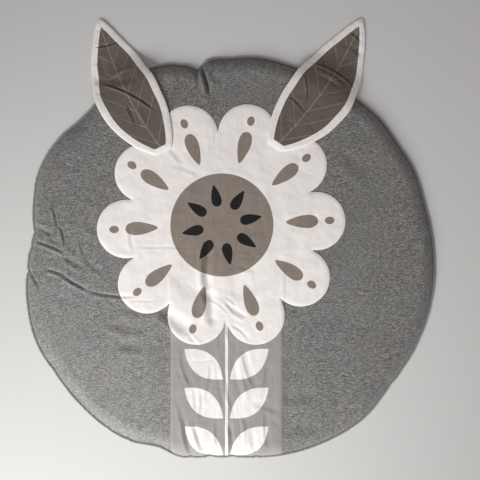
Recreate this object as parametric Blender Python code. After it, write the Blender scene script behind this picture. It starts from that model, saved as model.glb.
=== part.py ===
"""Round padded play mat with a daisy panel, a stem panel and two leaf flaps, lying flat.

Lengths are metres and +Z is up. The origin is the centre of the mat's underside, and +Y
points to the side where the two flaps reach past the rim.
"""

import math
from collections import namedtuple

import bmesh
import bpy
from mathutils import Vector
from mathutils.geometry import delaunay_2d_cdt

MM = 0.001
GAP = 0.3 * MM

# Thicknesses and heights of the mat
BACK_THICKNESS = 1.5 * MM
PANEL_THICKNESS = 1.5 * MM
LIP_WIDTH = 5.5 * MM
LIP_HEIGHT = 5.2 * MM
SEAM_HEIGHT = 4.2 * MM
PAD_HEIGHT = 21.0 * MM

# The crown's shoulder, in from the lip, and the two powers that give its rounded section
SHOULDER = 46.0 * MM
CROWN_FULL = 2.2
CROWN_SOFT = 0.7

# Slow waves of the wadding: their height, then radians a metre and the start each way
UNEVEN = 0.8 * MM
UNEVEN_X, UNEVEN_X_START = 13.0, 1.0
UNEVEN_Y, UNEVEN_Y_START = 11.0, -0.5

# Spacing of the mesh: sectors round the rim, rings in from the lip in millimetres, and the
# staggered rows over the flat, which are a share of the point spacing apart
SECTORS = 96
SECTOR_ANGLE = 360.0 / SECTORS
SHOULDER_RINGS = (4.0, 11.0, 22.0, 37.0)
FLAT_REACH = 0.5
POINT_SPACING = 29.0 * MM
ROW_PITCH = 0.87
ROW_SHIFT = 0.5
LEAST_SPACING = 6.0 * MM
LEAST_ROW_SPACING = 0.62 * POINT_SPACING
SAME_POINT = 0.001 * MM
ON_EDGE = 0.05 * MM
KEEP_INSIDE = 1
RIM_TRIES = 8

# Faces that meet at more than this angle keep a sharp edge
SHARP_ANGLE = math.radians(40.0)
FACING_DOWN = -0.99

# The daisy panel: ten round petals about its own centre
FLOWER_CENTRE = Vector((-18.5 * MM, 76.5 * MM))
PETALS = 10
PETAL_TIP = 285.0 * MM
PETAL_VALLEY = 196.0 * MM
PETAL_TURN = 74.4
PETAL_POINTS = 10
PETAL_ROUNDNESS = 0.42
PETAL_UNEVEN = 0.012
PETAL_UNEVEN_STEP = 2.3

# The stem panel hangs from the daisy between these bearings about its centre, in degrees
STEM_BEARINGS = (240.0, 304.5)
STEM_CORNER_CLEAR = 1.0

# The leaf flaps: their thickness, their half width at the ends and the belly between them
FLAP_MIDDLE = 5.0 * MM
FLAP_EDGE = 2.2 * MM
FLAP_LIFT = PANEL_THICKNESS + 3.0 * GAP
FLAP_BASE_HALF = 15.0 * MM
FLAP_TIP_HALF = 3.5 * MM
FLAP_PLAIN_HALF = 9.0 * MM
FLAP_BELLY_PLACE = 0.86
FLAP_BELLY_FULL = 0.85
FLAP_SECTIONS = 26
FLAP_STRIPS = 8
FLAP_LANDING = -62.0 * MM
FLAP_LIFTOFF = 40.0 * MM

# Section of the back panel's turned-up edge, from the underside out, up and in again
Lip = namedtuple("Lip", "inset height")
LIP_PROFILE = (
    Lip(1.2 * MM, 0.0),
    Lip(0.0, 1.3 * MM),
    Lip(0.0, 3.4 * MM),
    Lip(1.6 * MM, LIP_HEIGHT),
    Lip(LIP_WIDTH - 1.4 * MM, LIP_HEIGHT - 0.2 * MM),
    Lip(LIP_WIDTH, SEAM_HEIGHT - 0.4 * MM),
    Lip(LIP_WIDTH, BACK_THICKNESS),
)

# Cloths: base colour and roughness
Cloth = namedtuple("Cloth", "colour roughness")
JERSEY = Cloth((0.178, 0.176, 0.171), 0.95)
BACK_COTTON = Cloth((0.36, 0.36, 0.35), 0.9)
WHITE_COTTON = Cloth((0.76, 0.735, 0.72), 0.9)
GREY_COTTON = Cloth((0.37, 0.36, 0.355), 0.9)
LEAF_COTTON = Cloth((0.105, 0.086, 0.07), 0.9)

# Outer radius of the mat, in millimetres, at angles in degrees from +X
Rim = namedtuple("Rim", "angle radius")
RIM = (
    Rim(4, 476.5),
    Rim(15, 473),
    Rim(25, 477),
    Rim(34, 474.5),
    Rim(43, 477.5),
    Rim(55, 473.5),
    Rim(72, 471),
    Rim(82, 473),
    Rim(90, 467),
    Rim(96, 466),
    Rim(100, 454),
    Rim(104, 466),
    Rim(111, 480),
    Rim(128, 479),
    Rim(138, 477),
    Rim(145, 488),
    Rim(155, 492),
    Rim(165, 477),
    Rim(173, 465),
    Rim(180, 472),
    Rim(190, 484),
    Rim(203, 494.5),
    Rim(214, 490),
    Rim(240, 489.5),
    Rim(249, 473),
    Rim(256, 479),
    Rim(264, 468),
    Rim(272, 466),
    Rim(284, 476),
    Rim(297, 484),
    Rim(310, 488),
    Rim(321, 479.5),
    Rim(335, 481.5),
    Rim(350, 481.5),
)

# A fold's depth rises from both ends: how steeply along its length, and how far it has come
# at the end itself
FOLD_RUN_OUT = 4.0
FOLD_END_SHARE = 0.25

# Legs of a fold's bowed line, then the mesh's points on it: how far apart they are, and how
# far aside its two shoulders lie, both in half widths of the fold
FOLD_STEPS = 8
FOLD_POINT_STEP = 1.5
FOLD_SHOULDER = 1.25

# Folds of the pad in millimetres: where each starts and ends, how far its middle bows to
# the left of the straight line, its half width and its depth
Fold = namedtuple("Fold", "start_x start_y end_x end_y bow width depth")
FOLDS = (
    # Jersey at the left
    Fold(-452, 44, -362, -14, 9, 9, 3.0),
    Fold(-441, -20, -255, -91, -12, 9, 3.2),
    Fold(-416, 111, -400, 52, 3, 9, 2.0),
    Fold(-396, 72, -384, 24, 2, 7, 1.6),
    Fold(-347, 41, -327, -17, -5, 6, 1.5),
    Fold(-288, -143, -240, -156, 2, 13, 1.4),
    Fold(-274, -197, -188, -207, 4, 13, 1.4),
    # Gather at the top of the rim
    Fold(-76, 449, -53, 386, 3, 8, 4.5),
    # Middle of the mat
    Fold(-45, 19, -51, -146, -6, 10, 3.2),
    Fold(-158, -121, -86, -160, -5, 12, 2.6),
    Fold(-13, -92, 41, -135, -6, 10, 1.8),
    # Near the rim, below
    Fold(-103, -372, -92, -446, -3, 8, 2.4),
    Fold(-75, -384, -49, -457, -3, 8, 2.2),
    Fold(3, -388, 3, -452, 3, 9, 2.0),
    # Jersey at the right
    Fold(262, 248, 336, 196, -6, 18, 1.6),
    Fold(120, -330, 190, -306, 5, 16, 1.5),
    Fold(352, -310, 384, -284, 3, 10, 2.0),
)

# The two leaf flaps in millimetres, from the base on the daisy to the tip on the floor
Flap = namedtuple("Flap", "name base_x base_y tip_x tip_y half_width bow folds")
FLAPS = (
    Flap("leaf_flap_left", -161, 258, -306, 557, 73, 18, (
        Fold(-296, 398, -176, 344, 6, 8, 1.4),
        Fold(-314, 492, -258, 508, -3, 8, 1.2),
        Fold(-282, 410, -232, 438, 3, 9, 1.0),
    )),
    Flap("leaf_flap_right", 107, 264, 308, 558, 75, -20, (
        Fold(196, 452, 282, 394, 8, 9, 1.4),
        Fold(172, 424, 176, 358, 4, 9, 1.2),
        Fold(284, 528, 304, 508, 2, 6, 0.9),
    )),
)


def smooth_rise(value):
    """0 to 1, level at both ends."""
    value = min(max(value, 0.0), 1.0)
    return value * value * (3.0 - 2.0 * value)


def rim_radius(angle):
    """Outer radius at an angle in degrees: a smooth closed curve through the rows of RIM."""
    angle = angle % 360.0
    count = len(RIM)
    after = next((i for i, row in enumerate(RIM) if row.angle > angle), 0)
    rows = [RIM[(after + step) % count] for step in (-2, -1, 0, 1)]
    angles = [row.angle for row in rows]
    for i in range(1, 4):
        while angles[i] < angles[i - 1]:
            angles[i] += 360.0
    while angle < angles[1]:
        angle += 360.0
    span = angles[2] - angles[1]
    share = (angle - angles[1]) / span
    start_slope = (rows[2].radius - rows[0].radius) / (angles[2] - angles[0]) * span
    end_slope = (rows[3].radius - rows[1].radius) / (angles[3] - angles[1]) * span
    blend = smooth_rise(share)
    radius = rows[1].radius * (1.0 - blend) + rows[2].radius * blend
    radius += start_slope * share * (1.0 - share) ** 2
    radius -= end_slope * share ** 2 * (1.0 - share)
    return radius * MM


def rim_point(angle, inset):
    """The point at an angle in degrees, the inset inside the mat's outer edge."""
    radius = rim_radius(angle) - inset
    turn = math.radians(angle)
    return Vector((radius * math.cos(turn), radius * math.sin(turn)))


def rim_ring(inset):
    """One point a sector, the inset inside the mat's outer edge."""
    return [rim_point(step * SECTOR_ANGLE, inset) for step in range(SECTORS)]


def rim_inset(point):
    """How far a point lies inside the mat's outer edge, less than zero outside it."""
    return rim_radius(math.degrees(math.atan2(point.y, point.x))) - point.length


def fold_route(fold, steps=FOLD_STEPS):
    """Points along a fold's bowed centre line."""
    start = Vector((fold.start_x, fold.start_y)) * MM
    end = Vector((fold.end_x, fold.end_y)) * MM
    along = end - start
    side = Vector((-along.y, along.x)).normalized()
    shares = [step / steps for step in range(steps + 1)]
    return [start + along * t + side * (fold.bow * MM * 4.0 * t * (1.0 - t)) for t in shares]


def fold_depth(fold, route, point):
    """Depth of one fold at a point: a soft trough that runs out at both ends."""
    nearest, where = None, 0.0
    for step in range(len(route) - 1):
        leg = route[step + 1] - route[step]
        share = min(max((point - route[step]).dot(leg) / leg.length_squared, 0.0), 1.0)
        distance = (route[step] + leg * share - point).length
        if nearest is None or distance < nearest:
            nearest, where = distance, (step + share) / (len(route) - 1)
    ends = smooth_rise(FOLD_RUN_OUT * min(where, 1.0 - where) + FOLD_END_SHARE)
    return fold.depth * MM * ends * math.exp(-((nearest / (fold.width * MM)) ** 2))


FOLD_ROUTES = [(fold, fold_route(fold)) for fold in FOLDS]


def pad_top(point):
    """Height of the pad's upper side: a crown that is drawn in at the rim, with its folds."""
    share = min(max((rim_inset(point) - LIP_WIDTH) / SHOULDER, 0.0), 1.0)
    rise = (1.0 - (1.0 - share) ** CROWN_FULL) ** CROWN_SOFT
    across = math.sin(UNEVEN_X * point.x + UNEVEN_X_START)
    along = math.cos(UNEVEN_Y * point.y + UNEVEN_Y_START)
    folds = sum(fold_depth(fold, route, point) for fold, route in FOLD_ROUTES)
    return SEAM_HEIGHT + rise * (PAD_HEIGHT - SEAM_HEIGHT + UNEVEN * across * along - folds)


def flower_outline():
    """The daisy's cut edge, from one petal to the next."""
    outline = []
    for step in range(PETALS * PETAL_POINTS):
        turn = step / PETAL_POINTS
        wave = abs(math.cos(math.pi * turn)) ** PETAL_ROUNDNESS
        tip = PETAL_TIP * (1.0 + PETAL_UNEVEN * math.sin(PETAL_UNEVEN_STEP * round(turn)))
        radius = PETAL_VALLEY + (tip - PETAL_VALLEY) * wave
        angle = math.radians(PETAL_TURN + turn * 360.0 / PETALS)
        outline.append(FLOWER_CENTRE + Vector((math.cos(angle), math.sin(angle))) * radius)
    return outline


def inside(outline, point):
    """True where the point lies inside a closed outline."""
    crossings = 0
    for start, end in zip(outline, outline[1:] + outline[:1]):
        if (start.y > point.y) != (end.y > point.y):
            crossing = start.x + (point.y - start.y) / (end.y - start.y) * (end.x - start.x)
            crossings += crossing > point.x
    return crossings % 2 == 1


def below_rim(x, inset):
    """The point with this x that lies the inset inside the mat's lower edge."""
    reach = RIM[0].radius * MM
    point = Vector((x, -math.sqrt(reach * reach - x * x)))
    for _ in range(RIM_TRIES):
        reach = point.length + rim_inset(point) - inset
        point = Vector((x, -math.sqrt(reach * reach - x * x)))
    return point


def stem_side(top):
    """One straight side of the stem panel, from the rim up to the daisy."""
    lower = [below_rim(top.x, LIP_WIDTH + GAP + inset * MM) for inset in SHOULDER_RINGS]
    steps = round((top - lower[-1]).length / POINT_SPACING)
    return lower + [lower[-1].lerp(top, step / steps) for step in range(1, steps)]


def stem_outline(flower):
    """The stem panel's cut edge: straight sides, the daisy's edge above and the rim below."""
    low = []
    for point in flower:
        from_centre = point - FLOWER_CENTRE
        bearing = math.degrees(math.atan2(from_centre.y, from_centre.x)) % 360.0
        if STEM_BEARINGS[0] < bearing < STEM_BEARINGS[1]:
            low.append(point)
    low.sort(key=lambda p: math.atan2(p.x - FLOWER_CENTRE.x, FLOWER_CENTRE.y - p.y))
    left, right = stem_side(low[0]), stem_side(low[-1])
    ends = [math.degrees(math.atan2(side[0].y, side[0].x)) % 360.0 for side in (left, right)]
    first, last = ends[0] + STEM_CORNER_CLEAR, ends[1] - STEM_CORNER_CLEAR
    inset = LIP_WIDTH + GAP + SHOULDER_RINGS[0] * MM
    angles = [step * SECTOR_ANGLE for step in range(SECTORS)]
    below = [rim_point(angle, inset) for angle in angles if first < angle < last]
    return list(reversed(left)) + below + right + list(reversed(low))


def add_apart(points, candidates, least):
    """Add each candidate that is no closer than the least distance to the points so far."""
    for point in candidates:
        if all((point - other).length >= least for other in points):
            points.append(point)


def fold_points():
    """Points on each fold's centre line and on its two shoulders."""
    points = []
    for fold, _ in FOLD_ROUTES:
        length = math.hypot(fold.end_x - fold.start_x, fold.end_y - fold.start_y)
        route = fold_route(fold, max(3, round(length / (FOLD_POINT_STEP * fold.width))))
        for start, end in zip(route, route[1:]):
            along = (end - start).normalized()
            side = Vector((-along.y, along.x)) * fold.width * MM * FOLD_SHOULDER
            points.extend((start, start + side, start - side))
        points.append(route[-1])
    return points


def lattice_points():
    """Staggered rows that fill the flat of the pad."""
    rows = int(FLAT_REACH / POINT_SPACING)
    points = []
    for row in range(-rows, rows + 1):
        shift = ROW_SHIFT * (row % 2)
        for column in range(-rows - 2, rows + 3):
            across = (column + shift) * POINT_SPACING
            points.append(Vector((across, row * POINT_SPACING * ROW_PITCH)))
    flat = LIP_WIDTH + SHOULDER
    return [point for point in points if rim_inset(point) > flat]


def pad_surface(flower, stem):
    """Triangles over the whole pad that follow its rim, its folds and both panels' edges."""
    points = rim_ring(LIP_WIDTH + GAP)
    edges = [(i, (i + 1) % SECTORS) for i in range(SECTORS)]
    for outline in (flower, stem):
        first = len(points)
        points.extend(outline)
        edges.extend((first + i, first + (i + 1) % len(outline)) for i in range(len(outline)))
    for inset in SHOULDER_RINGS:
        add_apart(points, rim_ring(LIP_WIDTH + GAP + inset * MM), LEAST_SPACING)
    add_apart(points, [p for p in fold_points() if rim_inset(p) > 2.0 * LIP_WIDTH], LEAST_SPACING)
    add_apart(points, lattice_points(), LEAST_ROW_SPACING)
    flat_points, _, faces, *_ = delaunay_2d_cdt(points, edges, [], KEEP_INSIDE, SAME_POINT)
    return flat_points, faces


def slab_mesh(name, flat_points, faces, low_height, high_height):
    """A closed slab over some of the triangles, between two heights worked out per point."""
    mesh = bmesh.new()
    used = sorted({index for face in faces for index in face})
    low = {i: mesh.verts.new((*flat_points[i], low_height(flat_points[i]))) for i in used}
    high = {i: mesh.verts.new((*flat_points[i], high_height(flat_points[i]))) for i in used}
    sides = {}
    for face in faces:
        mesh.faces.new([high[i] for i in face])
        mesh.faces.new([low[i] for i in reversed(face)])
        for start, end in zip(face, face[1:] + face[:1]):
            sides[(start, end)] = True
    for start, end in sides:
        if (end, start) not in sides:
            mesh.faces.new((low[start], low[end], high[end], high[start]))
    data = bpy.data.meshes.new(name)
    mesh.to_mesh(data)
    mesh.free()
    return data


def make_material(name, cloth):
    """A plain cloth finish."""
    colour = (*cloth.colour, 1.0)
    material = bpy.data.materials.new(name)
    material.use_nodes = True
    shader = material.node_tree.nodes["Principled BSDF"]
    shader.inputs["Base Color"].default_value = colour
    shader.inputs["Roughness"].default_value = cloth.roughness
    shader.inputs["Metallic"].default_value = 0.0
    material.diffuse_color = colour
    return material


def add_object(name, data, material):
    """Link a mesh as a named piece with its material, shaded smooth but for its edges."""
    data.materials.append(material)
    data.shade_smooth()
    data.set_sharp_from_angle(angle=SHARP_ANGLE)
    piece = bpy.data.objects.new(name, data)
    bpy.context.scene.collection.objects.link(piece)
    return piece


def build_pad(flat_points, faces):
    """The filled pad: crowned above, flat below, drawn in to its seam."""
    floor = BACK_THICKNESS + GAP
    data = slab_mesh("mat_pad", flat_points, faces, lambda point: floor, pad_top)
    mesh = bmesh.new()
    mesh.from_mesh(data)
    below = [face for face in mesh.faces if face.normal.z < FACING_DOWN]
    bmesh.ops.dissolve_faces(mesh, faces=below, use_verts=False)
    loose = [vert for vert in mesh.verts if vert.co.z < floor + GAP and not vert.link_faces]
    bmesh.ops.delete(mesh, geom=loose, context="VERTS")
    mesh.to_mesh(data)
    mesh.free()
    return add_object("mat_pad", data, make_material("jersey", JERSEY))


def build_panel(name, outline, flat_points, faces, material):
    """A cotton panel that lies on the pad's own facets, inside its cut edge."""
    chosen = []
    for face in faces:
        middle = sum((flat_points[i] for i in face), Vector((0.0, 0.0))) / len(face)
        if inside(outline, middle):
            chosen.append(face)
    data = slab_mesh(
        name, flat_points, chosen,
        lambda point: pad_top(point) + GAP,
        lambda point: pad_top(point) + GAP + PANEL_THICKNESS,
    )
    return add_object(name, data, material)


def draw_back_from(piece, outline, amount):
    """Move a panel's points that lie on another panel's edge away from that panel's centre."""
    for vert in piece.data.vertices:
        flat = Vector(vert.co.xy)
        if any((flat - point).length < ON_EDGE for point in outline):
            away = (flat - FLOWER_CENTRE).normalized() * amount
            vert.co.x += away.x
            vert.co.y += away.y


def build_back():
    """The back panel, flat on the floor, with its edge turned up as a round lip."""
    mesh = bmesh.new()
    rows = []
    for lip in LIP_PROFILE:
        rows.append([mesh.verts.new((*point, lip.height)) for point in rim_ring(lip.inset)])
    for lower, upper in zip(rows, rows[1:]):
        for i in range(SECTORS):
            j = (i + 1) % SECTORS
            mesh.faces.new((lower[i], lower[j], upper[j], upper[i]))
    mesh.faces.new(list(reversed(rows[0])))
    mesh.faces.new(rows[-1])
    data = bpy.data.meshes.new("back_panel")
    mesh.to_mesh(data)
    mesh.free()
    return add_object("back_panel", data, make_material("back_cotton", BACK_COTTON))


def flap_under(point):
    """Height of a flap's underside: on the mat, over its rim in a soft slope, on the floor."""
    inset = rim_inset(point)
    slope = smooth_rise((inset - FLAP_LANDING) / (FLAP_LIFTOFF - FLAP_LANDING))
    height = (PAD_HEIGHT + FLAP_LIFT) * slope
    if inset > LIP_WIDTH:
        height = max(height, pad_top(point) + FLAP_LIFT)
    return height


def flap_section(flap, share):
    """Middle, side direction and half width of a leaf flap at a share of its length."""
    base = Vector((flap.base_x, flap.base_y)) * MM
    tip = Vector((flap.tip_x, flap.tip_y)) * MM
    along = tip - base
    side = Vector((-along.y, along.x)).normalized()
    middle = base + along * share + side * (flap.bow * MM * 4.0 * share * (1.0 - share))
    belly = 0.0
    if 0.0 < share < 1.0:
        belly = math.sin(math.pi * share ** FLAP_BELLY_PLACE) ** FLAP_BELLY_FULL
    plain = FLAP_BASE_HALF + (FLAP_TIP_HALF - FLAP_BASE_HALF) * share
    return middle, side, plain + (flap.half_width * MM - FLAP_PLAIN_HALF) * belly


def build_flap(flap, material):
    """A lightly filled leaf with a sewn edge, its creases pressed into the upper side."""
    routes = [(fold, fold_route(fold)) for fold in flap.folds]
    mesh = bmesh.new()
    upper, under = [], []
    for section in range(FLAP_SECTIONS + 1):
        middle, side, half = flap_section(flap, section / FLAP_SECTIONS)
        upper_row, under_row = [], []
        for strip in range(FLAP_STRIPS + 1):
            across = 1.0 - 2.0 * strip / FLAP_STRIPS
            point = middle + side * half * math.sin(across * math.pi / 2.0)
            filled = math.sqrt(max(1.0 - across * across, 0.0))
            creases = sum(fold_depth(fold, route, point) for fold, route in routes)
            height = flap_under(point)
            thick = FLAP_EDGE + (FLAP_MIDDLE - FLAP_EDGE) * filled - creases * filled
            under_row.append(mesh.verts.new((*point, height)))
            upper_row.append(mesh.verts.new((*point, height + thick)))
        upper.append(upper_row)
        under.append(under_row)
    for i in range(FLAP_SECTIONS):
        for j in range(FLAP_STRIPS):
            mesh.faces.new((upper[i][j], upper[i][j + 1], upper[i + 1][j + 1], upper[i + 1][j]))
            mesh.faces.new((under[i][j], under[i + 1][j], under[i + 1][j + 1], under[i][j + 1]))
        mesh.faces.new((under[i][0], upper[i][0], upper[i + 1][0], under[i + 1][0]))
        mesh.faces.new((under[i][-1], under[i + 1][-1], upper[i + 1][-1], upper[i][-1]))
    mesh.faces.new([*under[0], *reversed(upper[0])])
    mesh.faces.new([*upper[-1], *reversed(under[-1])])
    bmesh.ops.recalc_face_normals(mesh, faces=mesh.faces)
    data = bpy.data.meshes.new(flap.name)
    mesh.to_mesh(data)
    mesh.free()
    return add_object(flap.name, data, material)


def main():
    """Clear the scene and build every piece of the mat."""
    for thing in list(bpy.data.objects):
        bpy.data.objects.remove(thing)
    flower = flower_outline()
    stem = stem_outline(flower)
    flat_points, faces = pad_surface(flower, stem)
    build_back()
    build_pad(flat_points, faces)
    white = make_material("white_cotton", WHITE_COTTON)
    build_panel("daisy_panel", flower, flat_points, faces, white)
    grey = make_material("grey_cotton", GREY_COTTON)
    stem_piece = build_panel("stem_panel", stem, flat_points, faces, grey)
    draw_back_from(stem_piece, flower, GAP)
    for flap in FLAPS:
        build_flap(flap, make_material(flap.name + "_cotton", LEAF_COTTON))


main()
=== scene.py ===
import math
from collections import namedtuple

import bmesh
import bpy
import numpy as np
from mathutils import Euler, Matrix, Vector
from mathutils.bvhtree import BVHTree
from mathutils.kdtree import KDTree


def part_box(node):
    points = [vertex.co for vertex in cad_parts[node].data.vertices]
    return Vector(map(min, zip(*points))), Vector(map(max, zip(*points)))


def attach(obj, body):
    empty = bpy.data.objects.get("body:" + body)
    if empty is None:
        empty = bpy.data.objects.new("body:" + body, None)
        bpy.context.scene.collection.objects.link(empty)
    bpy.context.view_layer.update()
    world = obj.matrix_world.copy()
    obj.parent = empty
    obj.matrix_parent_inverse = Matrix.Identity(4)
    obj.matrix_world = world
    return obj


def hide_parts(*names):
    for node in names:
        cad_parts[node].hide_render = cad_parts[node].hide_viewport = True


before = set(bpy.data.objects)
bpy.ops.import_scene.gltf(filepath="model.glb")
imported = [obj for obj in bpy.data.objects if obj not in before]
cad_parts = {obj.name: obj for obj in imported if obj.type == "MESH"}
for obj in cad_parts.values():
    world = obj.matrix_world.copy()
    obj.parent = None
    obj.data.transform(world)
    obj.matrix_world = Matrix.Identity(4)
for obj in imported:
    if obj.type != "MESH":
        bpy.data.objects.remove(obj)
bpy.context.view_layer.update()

MM = 0.001
GAP = 0.3 * MM

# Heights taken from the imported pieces
pad_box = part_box("mat_pad")
back_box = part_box("back_panel")
PAD_FLOOR = pad_box[0][2]
LIP_HEIGHT = back_box[1][2]

# The mat's own sizes
LIP_WIDTH = 5.5 * MM
SEAM_HEIGHT = 3.0 * MM
BACK_THICKNESS = 1.5 * MM
COTTON_THICKNESS = 1.1 * MM
MEAN_RADIUS = 0.47

# The pad: its shoulder and the two powers that round it, its slow waves in radians a metre,
# and the heights of its smaller unevenness and of the puckers at its rim
PAD_HEIGHT = 21.0 * MM
SHOULDER = 39.0 * MM
CROWN_FULL = 2.2
CROWN_SOFT = 0.7
UNEVEN = 0.8 * MM
UNEVEN_X, UNEVEN_X_START = 13.0, 1.0
UNEVEN_Y, UNEVEN_Y_START = 11.0, -0.5
SWELL = 0.45 * MM
RIPPLE = 0.16 * MM
PUCKER = 0.95 * MM
PUCKER_REACH = 17.0 * MM

# How much closer the pad's grid lies at the left, where most folds are, and towards the rim
PAD_CROWDING = 0.15
RING_CROWDING = 0.85

# Section of the back panel's edge, from the underside out, up and in again, and the share
# of the lip's pucker that each loop takes
Lip = namedtuple("Lip", "inset height pucker")
LIP_PROFILE = (
    Lip(26.0 * MM, 0.0, 0.0),
    Lip(1.3 * MM, 0.0, 0.2),
    Lip(0.35 * MM, 0.5 * MM, 0.6),
    Lip(0.0, 1.6 * MM, 1.0),
    Lip(0.1 * MM, 3.1 * MM, 1.0),
    Lip(0.7 * MM, 4.2 * MM, 1.0),
    Lip(1.8 * MM, LIP_HEIGHT - 0.1 * MM, 1.0),
    Lip(3.6 * MM, LIP_HEIGHT, 0.8),
    Lip(4.8 * MM, LIP_HEIGHT - 0.3 * MM, 0.5),
    Lip(5.3 * MM, LIP_HEIGHT - 1.6 * MM, 0.2),
    Lip(LIP_WIDTH, BACK_THICKNESS + 0.3 * MM, 0.0),
    Lip(LIP_WIDTH + 3.0 * MM, BACK_THICKNESS, 0.0),
)

# Cotton sewn on the pad: how far it stands off it at its edge and inside, how far in its
# creases run out, and the hem, the rounding and the groove of the stitches along its edge
COTTON_EDGE_STAND = 0.12 * MM
COTTON_STAND = 0.9 * MM
CREASE_RUN_OUT = 14.0 * MM
HEM_HEIGHT, HEM_INSET, HEM_WIDTH = 0.35 * MM, 5.5 * MM, 3.2 * MM
ROUNDING_DEPTH, ROUNDING_WIDTH = 0.55 * MM, 2.0 * MM
STITCH_DEPTH, STITCH_INSET, STITCH_GROOVE = 0.30 * MM, 2.6 * MM, 0.9 * MM

# Stitches
STITCH_LENGTH = 3.0 * MM
STITCH_SPACE = 1.2 * MM
THREAD_RADIUS = 0.32 * MM
THREAD_TAPER = 0.45
SHORTEST_RUN = 40
SMOOTH_ANGLE = math.radians(50.0)

# The daisy panel
FLOWER_X = -18.5 * MM
FLOWER_Y = 76.5 * MM
PETALS = 10
PETAL_TIP = 285.0 * MM
PETAL_VALLEY = 196.0 * MM
PETAL_TURN = math.radians(74.4)
PETAL_ROUNDNESS = 0.42
PETAL_UNEVEN = 0.012
PETAL_UNEVEN_STEP = 2.3
VALLEY_ROUNDNESS = 0.03
OUTLINE_STEPS = 6001
CENTRE_RADIUS = 118.0 * MM

# The stem panel, whose top end is cut round under the daisy
STEM_LEFT = -136.4 * MM
STEM_RIGHT = 120.6 * MM
STEM_TOP_RADIUS = 184.0 * MM
STEM_TOP_SOFT = 24.0 * MM
STEM_SIDE_SOFT = 9.0 * MM
STEM_TOP_SIDE = -158.0 * MM
STEM_END_INSET = 1.5 * MM

# The leaf flaps: their thickness at the middle, the edge and the ends, how their edge is
# rounded and puckered, the half width of their ends and the belly between them,
# where they land on the floor and leave the mat, their printed border and their seam
FLAP_MIDDLE = 5.2 * MM
FLAP_EDGE = 2.2 * MM
FLAP_LEAST = 0.6 * MM
FLAP_END = 3.0 * MM
FLAP_FILL_RUN = 16.0 * MM
FLAP_ROUNDING_DEPTH, FLAP_ROUNDING_WIDTH = 1.0 * MM, 2.4 * MM
FLAP_PUCKER, FLAP_PUCKER_REACH = 0.22 * MM, 7.0 * MM
FLAP_UNEVEN = 1.2 * MM
FLAP_LIFT = 2.4 * MM
FLAP_BASE_HALF = 15.0 * MM
FLAP_TIP_HALF = 3.5 * MM
FLAP_PLAIN_HALF = 9.0 * MM
FLAP_BELLY_PLACE = 0.86
FLAP_BELLY_FULL = 0.85
FLAP_LANDING = -62.0 * MM
FLAP_LIFTOFF = 40.0 * MM
FLAP_BORDER = 17.0 * MM
FLAP_SEAM_INSET, FLAP_SEAM_DEPTH = 3.4 * MM, 0.35 * MM

# A fold's section: how softly its ends run out, how steep its thin line is, and the raised
# shoulder beside it, which is higher on the side to which the cloth was pushed
FOLD_REACH = 4.0
FOLD_RUN_OUT = 3.5
FOLD_END_SHARE = 0.12
FOLD_LINE_STEEP = 3.4
FOLD_SHOULDER = 0.26
FOLD_SHOULDER_LEAN = 0.24
FOLD_SHOULDER_PLACE = 1.5
FOLD_SHOULDER_NARROW = 1.5
PUSHED_X = -0.45
PUSHED_Y = -0.89

# Outer radius of the mat, in millimetres, at angles in degrees from +X
Rim = namedtuple("Rim", "angle radius")
RIM = (
    Rim(4, 476.5),
    Rim(15, 473),
    Rim(25, 477),
    Rim(34, 474.5),
    Rim(43, 477.5),
    Rim(55, 473.5),
    Rim(72, 471),
    Rim(82, 473),
    Rim(90, 467),
    Rim(96, 466),
    Rim(100, 454),
    Rim(104, 466),
    Rim(111, 480),
    Rim(128, 479),
    Rim(138, 477),
    Rim(145, 488),
    Rim(155, 492),
    Rim(165, 477),
    Rim(173, 465),
    Rim(180, 472),
    Rim(190, 484),
    Rim(203, 494.5),
    Rim(214, 490),
    Rim(240, 489.5),
    Rim(249, 473),
    Rim(256, 479),
    Rim(264, 468),
    Rim(272, 466),
    Rim(284, 476),
    Rim(297, 484),
    Rim(310, 488),
    Rim(321, 479.5),
    Rim(335, 481.5),
    Rim(350, 481.5),
)

# Sharp pinches in the rim where gathers meet the seam: angle and width in degrees, depth in
# millimetres
Pinch = namedtuple("Pinch", "angle width depth")
PINCHES = (
    Pinch(99.8, 1.1, 8.5),
    Pinch(104.5, 0.9, 2.0),
    Pinch(172.6, 1.2, 4.0),
    Pinch(176.8, 0.8, 2.5),
    Pinch(183.8, 0.7, 5.0),
    Pinch(212.0, 0.9, 1.8),
    Pinch(240.5, 1.0, 2.5),
    Pinch(258.8, 0.8, 3.0),
    Pinch(264.3, 0.8, 3.5),
    Pinch(270.6, 0.8, 3.5),
    Pinch(277.6, 0.7, 2.0),
    Pinch(322.0, 0.9, 3.0),
)

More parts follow.
